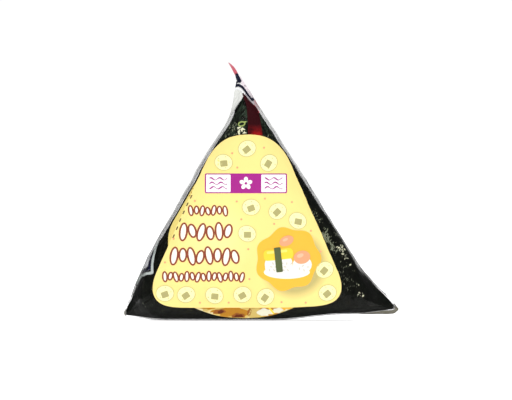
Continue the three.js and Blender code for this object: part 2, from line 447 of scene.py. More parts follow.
def cutAway(piece, start, end, side, fill=False):
    # Cuts off what lies beyond a line on the shown face, through the whole depth
    dx, dz = end[0] - start[0], end[1] - start[1]
    normal = Vector((dz, 0, -dx)).normalized()
    outward = {"left": (-1, 0, 0), "right": (1, 0, 0), "above": (0, 0, 1), "below": (0, 0, -1)}[side]
    if normal.dot(Vector(outward)) < 0:
        normal = -normal
    editing(piece)
    bpy.ops.mesh.bisect(plane_co=(start[0] * mm, 0, start[1] * mm), plane_no=normal,
                        use_fill=fill, clear_outer=True)
    objectMode()


def refine(piece, test):
    chooseFaces(piece, test)
    bpy.ops.mesh.subdivide(number_cuts=1)
    objectMode()


def makeSeaweed():
    body = duplicate(packForm, "seaweed_sheet")
    refine(body, lambda centres, normals: normals[:, 1] < 0.15)
    points, normals = readPoints(body), readNormals(body)
    x, z = points[:, 0], points[:, 2]
    # The film's folded edge stands off the seaweed, from lower down at the left
    rightFold = 0.55 * smoothStep(34, 42, z) + 0.45 * smoothStep(55, 66, z)
    fold = np.where(x < 0, smoothStep(20, 32, z), rightFold) * np.abs(normals[:, 0]) ** 2
    inset = seaweedValues["underFilm"] + seaweedValues["foldInset"] * fold
    writePoints(body, points - normals * inset[:, None])
    for start, end, side in seaweedValues["cuts"]:
        cutAway(body, start, end, side, fill=True)
    wrinkles = bpy.data.textures.new("seaweedWrinkles", "CLOUDS")
    wrinkles.noise_scale = seaweedValues["wrinkleSize"] * mm
    wrinkles.noise_depth = 2
    modify(body, "DISPLACE", texture=wrinkles, strength=seaweedValues["wrinkleHeight"] * mm,
           mid_level=0.6)
    return body


seaweed = makeSeaweed()
print("seaweed", len(seaweed.data.polygons), "faces")


# Clear film skin with its creases
filmValues = {
    "seed": 7,
    "fanHeight": 0.22,
    "lowest": -0.14,
    "highest": 0.32,
    "margin": 1.0,
    "sideCreases": 30,
    "fans": [
        # x, z, first angle, last angle, creases, shortest, longest, width
        (-46.5, 2.5, 4, 58, 15, 7, 19, 0.55),
        (46.5, 3.0, 128, 177, 15, 8, 24, 0.55),
        (-7.0, 80.5, 238, 308, 17, 6, 20, 0.45),
        (-33.0, 0.5, 20, 160, 9, 3, 8, 0.6),
        (6.0, 0.5, 15, 165, 16, 3, 9, 0.7),
        (27.0, 24.0, 60, 300, 9, 4, 10, 0.45),
    ],
    # Each print's colour and how dense it is
    "inks": {
        "pearl": ((0.88, 0.88, 0.92), 1.0),
        "mint": ((0.46, 0.51, 0.49), 1.0),
        "rose": ((0.80, 0.72, 0.76), 0.8),
        "smoke": ((0.14, 0.13, 0.095), 0.92),
        "blush": ((0.56, 0.055, 0.07), 1.0),
        "navy": ((0.006, 0.007, 0.024), 1.0),
    },
}


def creaseFan(rng, x, z, first, last, count, shortest, longest, width):
    creases = []
    for index in range(count):
        angle = math.radians(first + (last - first) * (index + rng.uniform(0.1, 0.9)) / count)
        length = rng.uniform(shortest, longest)
        skip = rng.uniform(0.5, 3.5)
        start, end = [(x + math.cos(angle) * reach, z + math.sin(angle) * reach)
                      for reach in (skip, skip + length)]
        creases.append((start, end, width * rng.uniform(0.6, 1.4),
                        rng.choice((-0.5, 1)) * rng.uniform(0.4, 1)))
    return creases


def sideCreases(rng):
    creases = []
    for index in range(filmValues["sideCreases"]):
        height, middle = rng.uniform(2, 74), rng.uniform(-9, 10)
        length, lean = rng.uniform(3, 9), rng.uniform(-0.5, 0.5)
        creases.append(((middle, height), (middle + lean * length, height + length),
                        rng.uniform(0.35, 0.7), rng.choice((-0.6, 1)) * rng.uniform(0.4, 1)))
    return creases


def creaseHeight(a, b, creases):
    total = np.zeros(len(a))
    for start, end, width, height in creases:
        along, away = fromLine(a, b, start, end)
        spread = width * (0.7 + 0.8 * along)
        total += height * (1 - 0.8 * along) * np.exp(-(away / spread) ** 2)
    return total


# Print on the film itself: the marks at the tip and the arrow corner at the left fold.
# Each line is a list of points with the line's width at each
filmPrint = {
    "blush": [
        [(-2.2, 77.0, 0.6), (-1.7, 75.2, 1.9), (-1.1, 72.8, 1.0)],
    ],
    "rose": [
        [(-7.9, 87.0, 1.2), (-7.0, 84.6, 1.8), (-5.4, 82.0, 2.8), (-3.8, 79.0, 3.0), (-2.2, 76.4, 2.4),
         (-1.0, 74.4, 1.4)],
    ],
    "pearl": [
        [(-38.9, 24.6, 0.5), (-39.9, 21.6, 1.6), (-40.5, 19.4, 2.0), (-41.4, 18.4, 1.2)],
        [(-9.2, 80.9, 0.5), (-8.4, 81.1, 0.5), (-7.1, 80.5, 0.42), (-5.8, 78.9, 0.36), (-4.4, 76.8, 0.36),
         (-3.1, 75.2, 0.4)],
    ],
    "mint": [
        [(-36.2, 27.6, 0.9), (-37.0, 25.4, 0.8), (-37.7, 22.4, 0.85), (-38.1, 19.9, 0.9),
         (-38.1, 16.7, 0.95)],
        [(-38.1, 16.7, 0.95), (-40.1, 16.4, 0.95), (-42.2, 15.4, 0.9), (-43.8, 12.8, 0.7)],
    ],
    "navy": [
        [(-9.2, 86.6, 1.5), (-8.4, 85.0, 1.4), (-7.7, 83.7, 1.5)],
        [(-8.2, 83.4, 0.8), (-9.0, 82.9, 0.6), (-9.6, 81.9, 1.1)],
        [(-9.6, 81.9, 1.2), (-8.0, 82.2, 1.0), (-6.7, 81.5, 0.95), (-5.6, 80.1, 0.8), (-4.5, 78.5, 0.7),
         (-3.2, 76.9, 0.7)],
        [(-3.2, 77.3, 1.2), (-3.1, 77.1, 1.2)],
        [(-5.8, 82.0, 0.35), (-5.7, 81.9, 0.35)],
        [(-37.4, 27.2, 0.5), (-37.9, 24.6, 0.8), (-38.8, 21.2, 0.9), (-39.2, 18.4, 1.3), (-40.6, 17.4, 1.1),
         (-42.4, 16.8, 0.6)],
    ],
}


def lineMask(x, z, line):
    mask = np.zeros(len(x))
    for (x0, z0, w0), (x1, z1, w1) in zip(line, line[1:]):
        along, away = fromLine(x, z, (x0, z0), (x1, z1))
        half = (w0 + (w1 - w0) * along) / 2
        mask = np.maximum(mask, smoothStep(0.1, -0.1, away - half))
    return mask


def pastCut(x, z, cut, way):
    # 1 where the film runs on alone past one of the seaweed's cuts, 0 over the seaweed
    (ax, az), (bx, bz), _ = cut
    off = ((z - az) * (bx - ax) - (x - ax) * (bz - az)) / math.hypot(ax - bx, az - bz)
    return smoothStep(-0.1, 0.3, way * off)


def paint(piece, name, values):
    attribute = piece.data.attributes.new(name, "FLOAT", "POINT")
    attribute.data.foreach_set("value", values.astype(np.float32))


def raiseCreases(skin):
    points, normals = readPoints(skin), readNormals(skin)
    x, y, z = points.T
    rng = random.Random(filmValues["seed"])
    total = np.zeros(len(points))
    for side in (-1, 1):
        creases = []
        for fan in filmValues["fans"]:
            creases += creaseFan(rng, *fan)
        total += smoothStep(0.05, 0.5, normals[:, 1] * side) * creaseHeight(x, z, creases)
    for side in (-1, 1):
        total += smoothStep(0.45, 0.8, normals[:, 0] * side) * creaseHeight(y, z, sideCreases(rng))
    # The film lies flat on the labels and along the tape
    free = np.where(normals[:, 1] < 0, smoothStep(0.2, 2.5, labelDistance(x, z)), 1) * smoothStep(82, 76, z)
    free *= np.where(z > 50, smoothStep(2.6, 3.6, np.abs(x + 2.4)), 1)
    lift = np.clip(filmValues["fanHeight"] * total, filmValues["lowest"], filmValues["highest"]) * free
    writePoints(skin, points + normals * lift[:, None])
    return points, normals


def paintFilm(skin, points, normals):
    x, y, z = points.T
    # The film's folded edge: a pale flat band at each side, clear along its two folds
    first, last = reachAt(z)
    edge = np.minimum(x - first, last - x)
    deep = np.abs(y)
    upper = np.where(x < 0, smoothStep(0, 12, z - 17 - 1.5 * deep), smoothStep(0, 12, z - 32 - 2.5 * deep))
    haze = (0.62 * smoothStep(4.4, 3.0, deep) * smoothStep(1.4, 2.6, deep)
            + 0.7 * smoothStep(1.6, 1.2, deep))
    width = filmValues["margin"]
    margin = smoothStep(width + 0.9, width + 0.1, edge) * upper * haze
    # Where no seaweed lies behind the film it reads pale, milky or smoky
    left, tip, right = seaweedValues["cuts"][:3]
    top = pastCut(x, z, tip, 1) * smoothStep(70, 72, z)
    wedge = pastCut(x, z, left, -1) * smoothStep(58, 63, z) * (x < 0)
    ear = np.maximum(pastCut(x, z, right, -1) * smoothStep(32, 35, x), smoothStep(46.0, 46.8, x))
    corner = smoothStep(-47.1, -47.8, x) * smoothStep(5, 3, z)
    paint(skin, "pale", np.maximum(margin, top))
    paint(skin, "frost", wedge)
    paint(skin, "smoke", np.maximum(ear, corner))
    for ink, lines in filmPrint.items():
        mask = np.max([lineMask(x, z, line) for line in lines], axis=0)
        if ink == "blush":
            mask *= smoothStep(-0.1, -0.3, normals[:, 1])
        paint(skin, ink, mask)


def makeFilm():
    skin = duplicate(packForm, "clear_film")
    refine(skin, lambda centres, normals: (centres[:, 2] > 73) | ((normals[:, 1] < 0.15) &
           (outlineDistance(centres[:, 0], centres[:, 2], frontOutline) > -1.5)))
    refine(skin, lambda at, normals: (at[:, 0] < -34.5) & (at[:, 2] > 12) & (at[:, 2] < 30))
    paintFilm(skin, *raiseCreases(skin))
    return skin


film = makeFilm()
print("film", len(film.data.polygons), "faces")


# Film flaps folded over the two slanted sides
flapValues = {
    "depth": (-9.0, 10.0),
    "ripple": 0.05,
    "edgeHaze": 0.75,
    "flaps": [
        # name, side, free edge from (y, z) to (y, z), which way it keeps, height over film
        ("flap_right_a", 1, (10.5, 9.0), (-3.5, 66.0), -1, 0.04),
        ("flap_right_b", 1, (-9.0, 7.0), (4.5, 60.0), 1, 0.10),
        ("flap_left_a", -1, (9.0, 8.0), (-4.5, 62.0), -1, 0.04),
        ("flap_left_b", -1, (-10.5, 10.0), (3.5, 64.0), 1, 0.10),
    ],
}


def makeFlap(name, side, start, end, keep, lift):
    flap = duplicate(packForm, name)
    chooseFaces(flap, lambda centres, normals: normals[:, 0] * side < 0.45)
    bpy.ops.mesh.delete(type="FACE")
    across = Vector((0, end[1] - start[1], start[0] - end[0])).normalized()
    front, rear = flapValues["depth"]
    cuts = [((0, start[0], start[1]), across * -keep), ((0, 0, start[1] - 2), (0, 0, -1)),
            ((0, 0, end[1] + 4), (0, 0, 1)), ((0, front, 0), (0, -1, 0)), ((0, rear, 0), (0, 1, 0))]
    for place, normal in cuts:
        bpy.ops.mesh.select_all(action="SELECT")
        bpy.ops.mesh.bisect(plane_co=[value * mm for value in place], plane_no=normal, clear_outer=True)
    objectMode()
    layOn(flap, film, lift)
    points, normals = readPoints(flap), readNormals(flap)
    x, y, z = points.T
    off = np.abs((y - start[0]) * across.y + (z - start[1]) * across.z)
    low = smoothStep(15, 25, z)
    wave = 1 + np.sin(z * 0.9 + side)
    ripple = flapValues["ripple"] * wave * smoothStep(6, 0, off) * low
    writePoints(flap, points + normals * ripple[:, None])
    paint(flap, "pale", flapValues["edgeHaze"] * smoothStep(0.8, 0.3, off) * low)
    return flap


flaps = [makeFlap(*flap) for flap in flapValues["flaps"]]


# Tape pieces
tapeValues = {
    "height": 0.06,
    "thickness": 0.07,
    "topRun": 3.4,
    "topLean": 1.8,
    "topCut": ((-5.55, 80.55), (-1.45, 75.15)),
    "endFoot": 86.6,
    "endStart": -8.9,
    "endLean": 0.74,
    "endThinner": 0.5,
    "endNarrower": 0.45,
    "endBevel": 0.12,
}


def makeTape(nodeName, name, side):
    tape = openSheet(nodeName, name, side, 1)
    if side < 0:
        # The top runs on under the film's pale print and is cut off along it
        points = readPoints(tape)
        x, y, z = points.T
        z += tapeValues["topRun"] * smoothStep(73, 78, z)
        x -= tapeValues["topLean"] * smoothStep(76.5, 80.5, z)
        writePoints(tape, points)
        cutAway(tape, *tapeValues["topCut"], "above")
    layOn(tape, packForm, tapeValues["height"])
    modify(tape, "SOLIDIFY", thickness=tapeValues["thickness"] * mm, offset=1)
    return tape


def makeTapeEnd():
    tab = cleanCopy("tear_strip_end", "tear_tape_end")
    foot = tapeValues["endFoot"]
    points = readPoints(tab)
    x, y, z = points.T
    y[:] = y.mean() + (y - y.mean()) * tapeValues["endThinner"]
    z -= 0.9 * smoothStep(88.2, foot, z)
    x += 0.35 * smoothStep(88.2, foot, z)
    along = tapeValues["endStart"] - (z - foot) * tapeValues["endLean"]
    x[:] = along + (x - along) * (1 - tapeValues["endNarrower"] * smoothStep(88.0, 90.1, z))
    writePoints(tab, points)
    modify(tab, "BEVEL", width=tapeValues["endBevel"] * mm, segments=2, limit_method="ANGLE",
           angle_limit=math.radians(40))
    modify(tab, "SUBSURF", levels=2, render_levels=2)
    return tab


tapeFront = makeTape("tear_strip_front", "tear_tape_front", -1)
tapeBack = makeTape("tear_strip_back", "tear_tape_back", 1)
tapeEnd = makeTapeEnd()

for sheet in (roundSheet, frontSheet):
    modify(sheet, "SOLIDIFY", thickness=labelValues["paper"] * mm, offset=1)


# Materials

def makeWrinkleGroup():
    made, start, end = newGroup(
        "filmWrinkle", [("Size", "Float", 300.0), ("Stretch", "Vector", (1.0, 1.0, 1.0))],
        [("Height", "Float")])
    place = put(made, "TexCoord")
    spread = put(made, "Mapping", {"Vector": place.outputs["Object"], "Scale": start.outputs["Stretch"]})
    noise = put(made, "TexNoise", {"Vector": spread.outputs["Vector"], "Scale": start.outputs["Size"],
                                   "Detail": 2.0, "Distortion": 0.8})
    ridge = put(made, "MapRange", {"Value": noise.outputs["Fac"], "From Min": 0.3, "From Max": 0.7},
                interpolation_type="SMOOTHSTEP")
    feed(made, ridge.outputs["Result"], end.inputs["Height"])
    return made


def makePaperGroup():
    made, start, end = newGroup(
        "paperGrain", [("Size", "Float", 3000.0)], [("Height", "Float"), ("Shade", "Float")])
    where = put(made, "TexCoord").outputs["Object"]
    grain = put(made, "TexNoise", {"Vector": where, "Scale": start.outputs["Size"], "Detail": 4.0})
    broad = put(made, "TexNoise", {"Vector": where, "Scale": 60.0, "Detail": 1.0})
    shade = put(made, "MapRange", {"Value": broad.outputs["Fac"], "From Min": 0.3, "From Max": 0.7,
                                   "To Min": 0.965, "To Max": 1.0})
    feed(made, grain.outputs["Fac"], end.inputs["Height"])
    feed(made, shade.outputs["Result"], end.inputs["Shade"])
    return made


filmWrinkle = makeWrinkleGroup()
paperGrain = makePaperGroup()


def addBump(tree, shader, height, distance):
    bump = put(tree, "Bump", {"Height": height, "Distance": distance * mm, "Strength": 1.0})
    feed(tree, bump.outputs["Normal"], shader.inputs["Normal"])


def addWrinkle(tree, shader, size, stretch, distance):
    wrinkle = put(tree, "Group", {"Size": size, "Stretch": stretch}, node_tree=filmWrinkle)
    addBump(tree, shader, wrinkle.outputs["Height"], distance)


def addPaper(tree, shader, base, shaded=True):
    # A fine grain in the surface, with a faint broad shade in the colour
    grain = put(tree, "Group", {"Size": 2600.0}, node_tree=paperGrain)
    if shaded:
        base = blend(tree, 1.0, base, grain.outputs["Shade"], blend_type="MULTIPLY")
    feed(tree, base, shader.inputs["Base Color"])
    addBump(tree, shader, grain.outputs["Height"], 0.01)


def makeSeaweedMaterial():
    made, tree, shader = newMaterial("seaweed", (0.006, 0.007, 0.0065), 0.6, Specular_IOR_Level=0.1)
    fine = scaledNoise(tree, 850.0, 4, 0.6)
    broad = scaledNoise(tree, 520.0, 3)
    base = blend(tree, ramp(tree, fine, 0.35, 0.7),
                 (0.0028, 0.0033, 0.0024), (0.0092, 0.0108, 0.0074))
    # Greener in patches towards the top, and pale specks here and there
    mottle = ramp(tree, broad, 0.42, 0.60)
    green = math2(tree, "MULTIPLY", heightRamp(tree, 58, 72), mottle)
    colour = blend(tree, green, base, (0.034, 0.056, 0.034))
    where = put(tree, "TexCoord").outputs["Object"]
    specks = put(tree, "TexVoronoi", {"Vector": where, "Scale": 700.0, "Randomness": 1.0})
    dots = ramp(tree, specks.outputs["Distance"], 0.10, 0.05)
    pick = put(tree, "SeparateColor", {"Color": specks.outputs["Color"]})
    rough = math2(tree, "MULTIPLY", dots, ramp(tree, pick.outputs["Red"], 0.78, 0.84))
    colour = blend(tree, math2(tree, "MULTIPLY", rough, 0.6), colour, (0.11, 0.125, 0.045))
    feed(tree, colour, shader.inputs["Base Color"])
    addBump(tree, shader, fine, 0.05)
    return made


def makeFilmMaterial():
    made, tree, shader = newMaterial("clearFilm", (0.9, 0.92, 0.9), 0.12)
    pale, frost = attributeOf(tree, "pale"), attributeOf(tree, "frost")
    streaks = scaledNoise(tree, 220.0, 3, 0.55, (3.0, 1.0, 0.35))
    fine = ramp(tree, streaks, 0.3, 0.75)
    hazy = blend(tree, fine, (0.60, 0.62, 0.57), (0.82, 0.84, 0.80))
    milky = blend(tree, fine, (0.66, 0.67, 0.64), (0.82, 0.83, 0.80))
    colour = blend(tree, frost, blend(tree, pale, (0.95, 0.95, 0.95), hazy), milky)
    printed = frost
    for ink, (hue, density) in filmValues["inks"].items():
        field = attributeOf(tree, ink)
        colour = blend(tree, field, colour, hue)
        printed = math2(tree, "MAXIMUM", printed, math2(tree, "MULTIPLY", field, density))
    feed(tree, colour, shader.inputs["Base Color"])
    # Clear film shows only its glint, which rises at a slant; haze and print hide what is behind
    slant = put(tree, "LayerWeight", {"Blend": 0.5})
    rise = math2(tree, "POWER", slant.outputs["Facing"], 5.0)
    glint = math2(tree, "ADD", math2(tree, "MULTIPLY", rise, 0.9), 0.025)
    veil = math2(tree, "MULTIPLY", pale, ramp(tree, streaks, -0.2, 0.8))
    share = math2(tree, "ADD", math2(tree, "MULTIPLY", veil, 0.48), glint)
    share = math2(tree, "MAXIMUM", share, math2(tree, "MULTIPLY", printed, 0.93))
    capped = put(tree, "Clamp", {"Value": share})
    matte = math2(tree, "MAXIMUM", pale, printed)
    feed(tree, math2(tree, "SUBTRACT", 1.0, matte), shader.inputs["Metallic"])
    addWrinkle(tree, shader, 260.0, (1.0, 1.0, 0.8), 0.10)
    clear = put(tree, "BsdfTransparent")
    mix = put(tree, "MixShader", {0: capped.outputs["Result"], 1: clear.outputs["BSDF"],
                                  2: shader.outputs["BSDF"]})
    feed(tree, mix.outputs["Shader"], tree.nodes["Material Output"].inputs["Surface"])
    return made


def makeTapeMaterial(name, dark, bright, low, high):
    made, tree, shader = newMaterial(name, dark, 0.36, Specular_IOR_Level=0.2, Coat_Weight=0.12,
                                     Coat_Roughness=0.12)
    fall = heightRamp(tree, high, low)
    noise = scaledNoise(tree, 380.0, 3, 0.6)
    glow = math2(tree, "MULTIPLY", fall, ramp(tree, noise, 0.35, 0.65))
    feed(tree, blend(tree, glow, dark, bright), shader.inputs["Base Color"])
    addWrinkle(tree, shader, 420.0, (1.0, 1.0, 0.3), 0.06)
    return made


def makePrintMaterial(name, base):
    made, tree, shader = newMaterial(name, base, 0.42, Specular_IOR_Level=0.3)
    addPaper(tree, shader, base)
    return made


def makeLabelMaterial():
    made, tree, shader = newMaterial("labelPaper", (0.94, 0.86, 0.30), 0.42, Specular_IOR_Level=0.2)
    glow = math2(tree, "MULTIPLY", spot(tree, (-16, 29), 7.5, 7.0), 0.85)
    base = blend(tree, glow, (0.92, 0.735, 0.26), (0.93, 0.785, 0.345))
    # A soft shade round the plate
    shadow = math2(tree, "MULTIPLY", spot(tree, (11.2, 19.8), 11.0, 1.6), 0.65)
    addPaper(tree, shader, blend(tree, shadow, base, (0.33, 0.30, 0.12)))
    return made


def makeRoundMaterial():
    made, tree, shader = newMaterial("roundPrint", (0.90, 0.70, 0.22), 0.4, Specular_IOR_Level=0.3)
    noise = scaledNoise(tree, 190.0, 2, 0.5)
    base = blend(tree, ramp(tree, noise, 0.50, 0.60), (0.62, 0.46, 0.12), (0.50, 0.24, 0.02))
    base = blend(tree, ramp(tree, noise, 0.42, 0.34), base, (0.72, 0.65, 0.38))
    base = blend(tree, heightRamp(tree, 8, 12), base, (0.74, 0.60, 0.18))
    addPaper(tree, shader, base, shaded=False)
    return made


tapeLooks = {
    # name, dark and lit colour, and the heights in mm between which the light fades
    "front": ("tapeRed", (0.034, 0.003, 0.005), (0.30, 0.003, 0.003), 65.0, 68.5),
    "back": ("tapeRedBack", (0.045, 0.004, 0.006), (0.20, 0.004, 0.005), 10, 70),
    "end": ("tapePink", (0.50, 0.10, 0.135), (0.60, 0.31, 0.35), 89.8, 87.4),
}

finishPiece(seaweed, makeSeaweedMaterial(), angle=80)
filmMaterial = makeFilmMaterial()
finishPiece(film, filmMaterial, "film_pack", angle=80)
for flap in flaps:
    finishPiece(flap, filmMaterial, angle=80)
for end, tape in (("front", tapeFront), ("back", tapeBack), ("end", tapeEnd)):
    finishPiece(tape, makeTapeMaterial(*tapeLooks[end]), "tear_strip_" + end)
finishPiece(roundSheet, makeRoundMaterial(), "round_label")
finishPiece(frontSheet, makeLabelMaterial(), "front_label")


# Printed shapes, cut flat in front of the pack and laid on what carries them
printValues = {
    "lift": 0.05,
    "layer": 0.035,
    "thickness": 0.025,
    "gridStep": 1.2,
    "nicks": [(-24.6, 43.2), (-25.9, 40.6), (-27.2, 37.8), (-28.4, 35.1), (-29.5, 32.3), (-30.7, 29.5)],
    "nickSize": (0.4, 1.3),
    "nickTurn": -26,
}

printInks = {
    "nickBrown": (0.10, 0.085, 0.035),
    "plum": (0.38, 0.016, 0.25),
    "white": (0.95, 0.95, 0.95),
    "amber": (0.94, 0.49, 0.045),
    "amberShade": (0.44, 0.19, 0.004),
    "yolk": (0.95, 0.65, 0.045),
    "yolkLight": (0.96, 0.76, 0.16),
    "coral": (0.92, 0.37, 0.20),
    "coralLight": (0.94, 0.50, 0.32),
    "cream": (0.955, 0.92, 0.46),
    "creamWhite": (0.95, 0.91, 0.76),
    "riceWhite": (0.84, 0.83, 0.79),
    "riceShade": (0.66, 0.63, 0.55),
    "olive": (0.43, 0.39, 0.16),
    "oliveLine": (0.60, 0.54, 0.22),
    "oliveDark": (0.10, 0.13, 0.05),
    "redBrown": (0.29, 0.062, 0.03),
    "brown": (0.13, 0.022, 0.001),
    "amberBrown": (0.30, 0.09, 0.008),
    "custard": (0.56, 0.42, 0.12),
    "curdWhite": (0.70, 0.69, 0.55),
    "footOrange": (0.78, 0.42, 0.03),
    "fleckRice": (0.80, 0.80, 0.56),
    "fleckGreen": (0.33, 0.42, 0.12),
    # Dull greenish streaks: thin spots in the seaweed with a painted glint of the film's crinkles
    "thinSpotAndGlint": (0.20, 0.22, 0.145),
}
# Where the flat shapes are drawn, in mm before the pack
flatAt = -30


def flatPlace(x, z):
    return {"location": (x * mm, flatAt * mm, z * mm), "rotation": (math.pi / 2, 0, 0)}


def sized(wide, high, turn):
    shape = bpy.context.object
    shape.scale = (wide * mm, high * mm, 1)
    shape.rotation_euler.y = -math.radians(turn)
    settle()
    return shape


def disc(x, z, wide, high=None, turn=0, sides=20):
    bpy.ops.mesh.primitive_circle_add(vertices=sides, radius=1, fill_type="NGON", **flatPlace(x, z))
    return sized(wide, high or wide, turn)


def slab(x, z, wide, high, turn=0, corner=0):
    bpy.ops.mesh.primitive_plane_add(size=1, **flatPlace(x, z))
    shape = sized(wide, high, turn)
    if corner:
        editing(shape)
        bpy.ops.mesh.bevel(offset=corner * mm, segments=5, affect="VERTICES")
        objectMode()
    return shape


def hollow(shape, width):
    # Leaves only a rim of the given width
    editing(shape)
    bpy.ops.mesh.inset(thickness=width * mm, depth=0)
    bpy.ops.mesh.delete(type="FACE")
    objectMode()
    return shape


def wavy(x, z, wide, high, sides, wave):
    # A round shape whose reach swells and shrinks round its rim
    shape = disc(x, z, 1, sides=sides)
    points = readPoints(shape)
    angle = np.arctan2(points[:, 2] - z, points[:, 0] - x)
    grow = 1 + wave(angle)
    points[:, 0] = x + wide * np.cos(angle) * grow
    points[:, 2] = z + high * np.sin(angle) * grow
    writePoints(shape, points)
    return shape


def scallop(x, z, radius, wave, petals):
    return wavy(x, z, radius, radius, 96, lambda angle:
                wave * np.cos(petals * angle) + 0.45 * wave * np.sin(2 * angle + 0.7))


def blot(x, z, wide, high, phase):
    return wavy(x, z, wide, high, 32, lambda angle:
                0.16 * np.sin(2 * angle + phase) + 0.11 * np.sin(5 * angle + 2.3 * phase))


def path(points, widths):
    # A flat band along a line of points, made from a grid of two rows
    bpy.ops.mesh.primitive_grid_add(x_subdivisions=len(points) - 1, y_subdivisions=1, size=2,
                                    location=(0, 0, 0), rotation=(math.pi / 2, 0, 0))
    shape = bpy.context.object
    settle()
    line = np.array(points, float)
    run = np.gradient(line, axis=0)
    run /= np.linalg.norm(run, axis=1)[:, None]
    across = np.stack([-run[:, 1], run[:, 0]], 1)
    grid = readPoints(shape) * mm
    index = np.rint((grid[:, 0] + 1) / 2 * (len(points) - 1)).astype(int)
    side = np.sign(grid[:, 2])
    half = np.array(widths, float)[index] / 2
    placed = line[index] + across[index] * (side * half)[:, None]
    writePoints(shape, np.stack([placed[:, 0], np.full(len(index), float(flatAt)), placed[:, 1]], 1))
    return shape


def inkMaterial(name):
    label = "ink_" + name
    return bpy.data.materials.get(label) or makePrintMaterial(label, printInks[name])


def printOn(carrier, name, shapes, ink, layer=0, back=False, step=printValues["gridStep"]):
    # Cuts the flat shapes by a grid, so that they can bend, and drops them on what carries them
    whole = joined(shapes, name)
    points = readPoints(whole)
    low, high = points.min(0), points.max(0)
    editing(whole)
    for axis, normal in ((0, (1, 0, 0)), (2, (0, 0, 1))):
        for at in np.arange(math.ceil(low[axis] / step) * step, high[axis], step):
            place = [0, flatAt * mm, 0]
            place[axis] = at * mm
            bpy.ops.mesh.select_all(action="SELECT")
            bpy.ops.mesh.bisect(plane_co=place, plane_no=normal)
    objectMode()
    if back:
        points = readPoints(whole)
        points[:, 1] *= -1
        writePoints(whole, points)
        editing(whole)
        bpy.ops.mesh.flip_normals()
        objectMode()
    height = printValues["lift"] + layer * printValues["layer"]
    modify(whole, "SHRINKWRAP", target=carrier, wrap_method="PROJECT", use_project_y=True,
           use_negative_direction=back, use_positive_direction=not back, offset=height * mm)
    # Points that found nothing below them are taken off
    missed = np.abs(readPoints(whole)[:, 1]) > abs(flatAt) - 1
    if missed.any():
        choose(whole, "VERT", whole.data.vertices, missed)
        bpy.ops.mesh.delete(type="VERT")
        objectMode()
    modify(whole, "SOLIDIFY", thickness=printValues["thickness"] * mm, offset=-1)
    finishPiece(whole, inkMaterial(ink))


def labelPrint(name, ink, layer, shapes, **settings):
    printOn(frontSheet, name, shapes, ink, layer, **settings)


# The yellow label's own generic design: a banner, a plate of food, rows of grains and small rolls
def printBanner(x, z):
    labelPrint("banner_frame", "plum", 0, [slab(x, z, 28.6, 6.9, corner=0.5)], step=0.8)
    panels = [slab(x + side * 9.6, z, 8.5, 6.1, corner=0.3) for side in (-1, 1)]
    labelPrint("banner_panels", "white", 1, panels, step=0.8)
    petals = [disc(x + 1.35 * math.cos(a), z + 1.35 * math.sin(a), 0.95, 0.72, math.degrees(a), 14)
              for a in (math.radians(90 + 72 * i) for i in range(5))]
    labelPrint("banner_blossom", "white", 1, petals)
    waves = []
    for side in (-1, 1):
        for row in (-1, 0, 1):
            along = [x + side * 9.6 + t for t in np.linspace(-3.1, 3.1, 15)]
            waves.append(path([(a, z + row * 1.55 + 0.42 * math.sin((a - x) * 2.0 + row)) for a in along],
                              [0.34 + 0.16 * math.sin(i * 0.9) for i in range(15)]))
    labelPrint("banner_waves", "plum", 2, waves)


def printPlate(x, z):
    labelPrint("plate_field", "amber", 0, [scallop(x, z, 10.9, 0.055, 7)])
    labelPrint("plate_dish", "creamWhite", 1, [disc(x - 0.4, z - 4.6, 8.0, 2.3, sides=40)])
    blocks = [slab(x - 3.2, z - 2.1, 9.6, 5.4, 6, 2.0), disc(x + 5.0, z - 2.0, 3.3, 3.0)]
    labelPrint("rice_blocks", "riceWhite", 2, blocks)
    rng = random.Random(5)
    grains = []
    for row in range(3):
        for index in range(5 - row % 2):
            gx, gz = x - 6.4 + index * 1.6 + row * 0.6, z - 3.9 + row * 1.15
            grains.append(disc(gx, gz, 0.55, 0.24, rng.uniform(0, 180), 12))
    for gx, gz in ((4.0, -3.4), (5.6, -3.9), (7.0, -2.8), (5.2, -2.4)):
        grains.append(disc(x + gx, z + gz, 0.55, 0.24, rng.uniform(0, 180), 12))
    labelPrint("rice_grains", "riceShade", 3, grains)
    labelPrint("top_slice", "yolk", 3, [slab(x - 3.3, z + 1.6, 10.4, 3.8, 6, 1.4)])
    labelPrint("top_slice_light", "yolkLight", 4, [slab(x - 3.8, z + 2.5, 7.2, 0.9, 6, 0.4)])
    labelPrint("slice_belt", "oliveDark", 6, [slab(x - 3.3, z - 0.3, 2.3, 8.6, 6, 0.3)])
    toppings = [disc(x + 4.9, z + 0.6, 2.9, 2.3, 12), disc(x - 0.5, z + 6.3, 2.6, 1.7, 25)]
    labelPrint("round_topping", "coral", 3, toppings)
    lights = [disc(x + 4.3, z + 1.2, 1.2, 0.7, 20), disc(x - 0.9, z + 6.7, 1.0, 0.5, 25)]
    labelPrint("topping_light", "coralLight", 4, lights)


grainRows = [
    # z, height, width, first place, last place, grains, lean
    (38.4, 2.9, 1.0, -24.6, -12.6, 7, 14),
    (31.0, 5.4, 1.9, -27.2, -11.6, 6, 17),
    (22.6, 5.4, 1.9, -30.4, -9.2, 8, 15),
    (15.4, 2.9, 1.0, -33.6, -6.8, 15, 16),
]


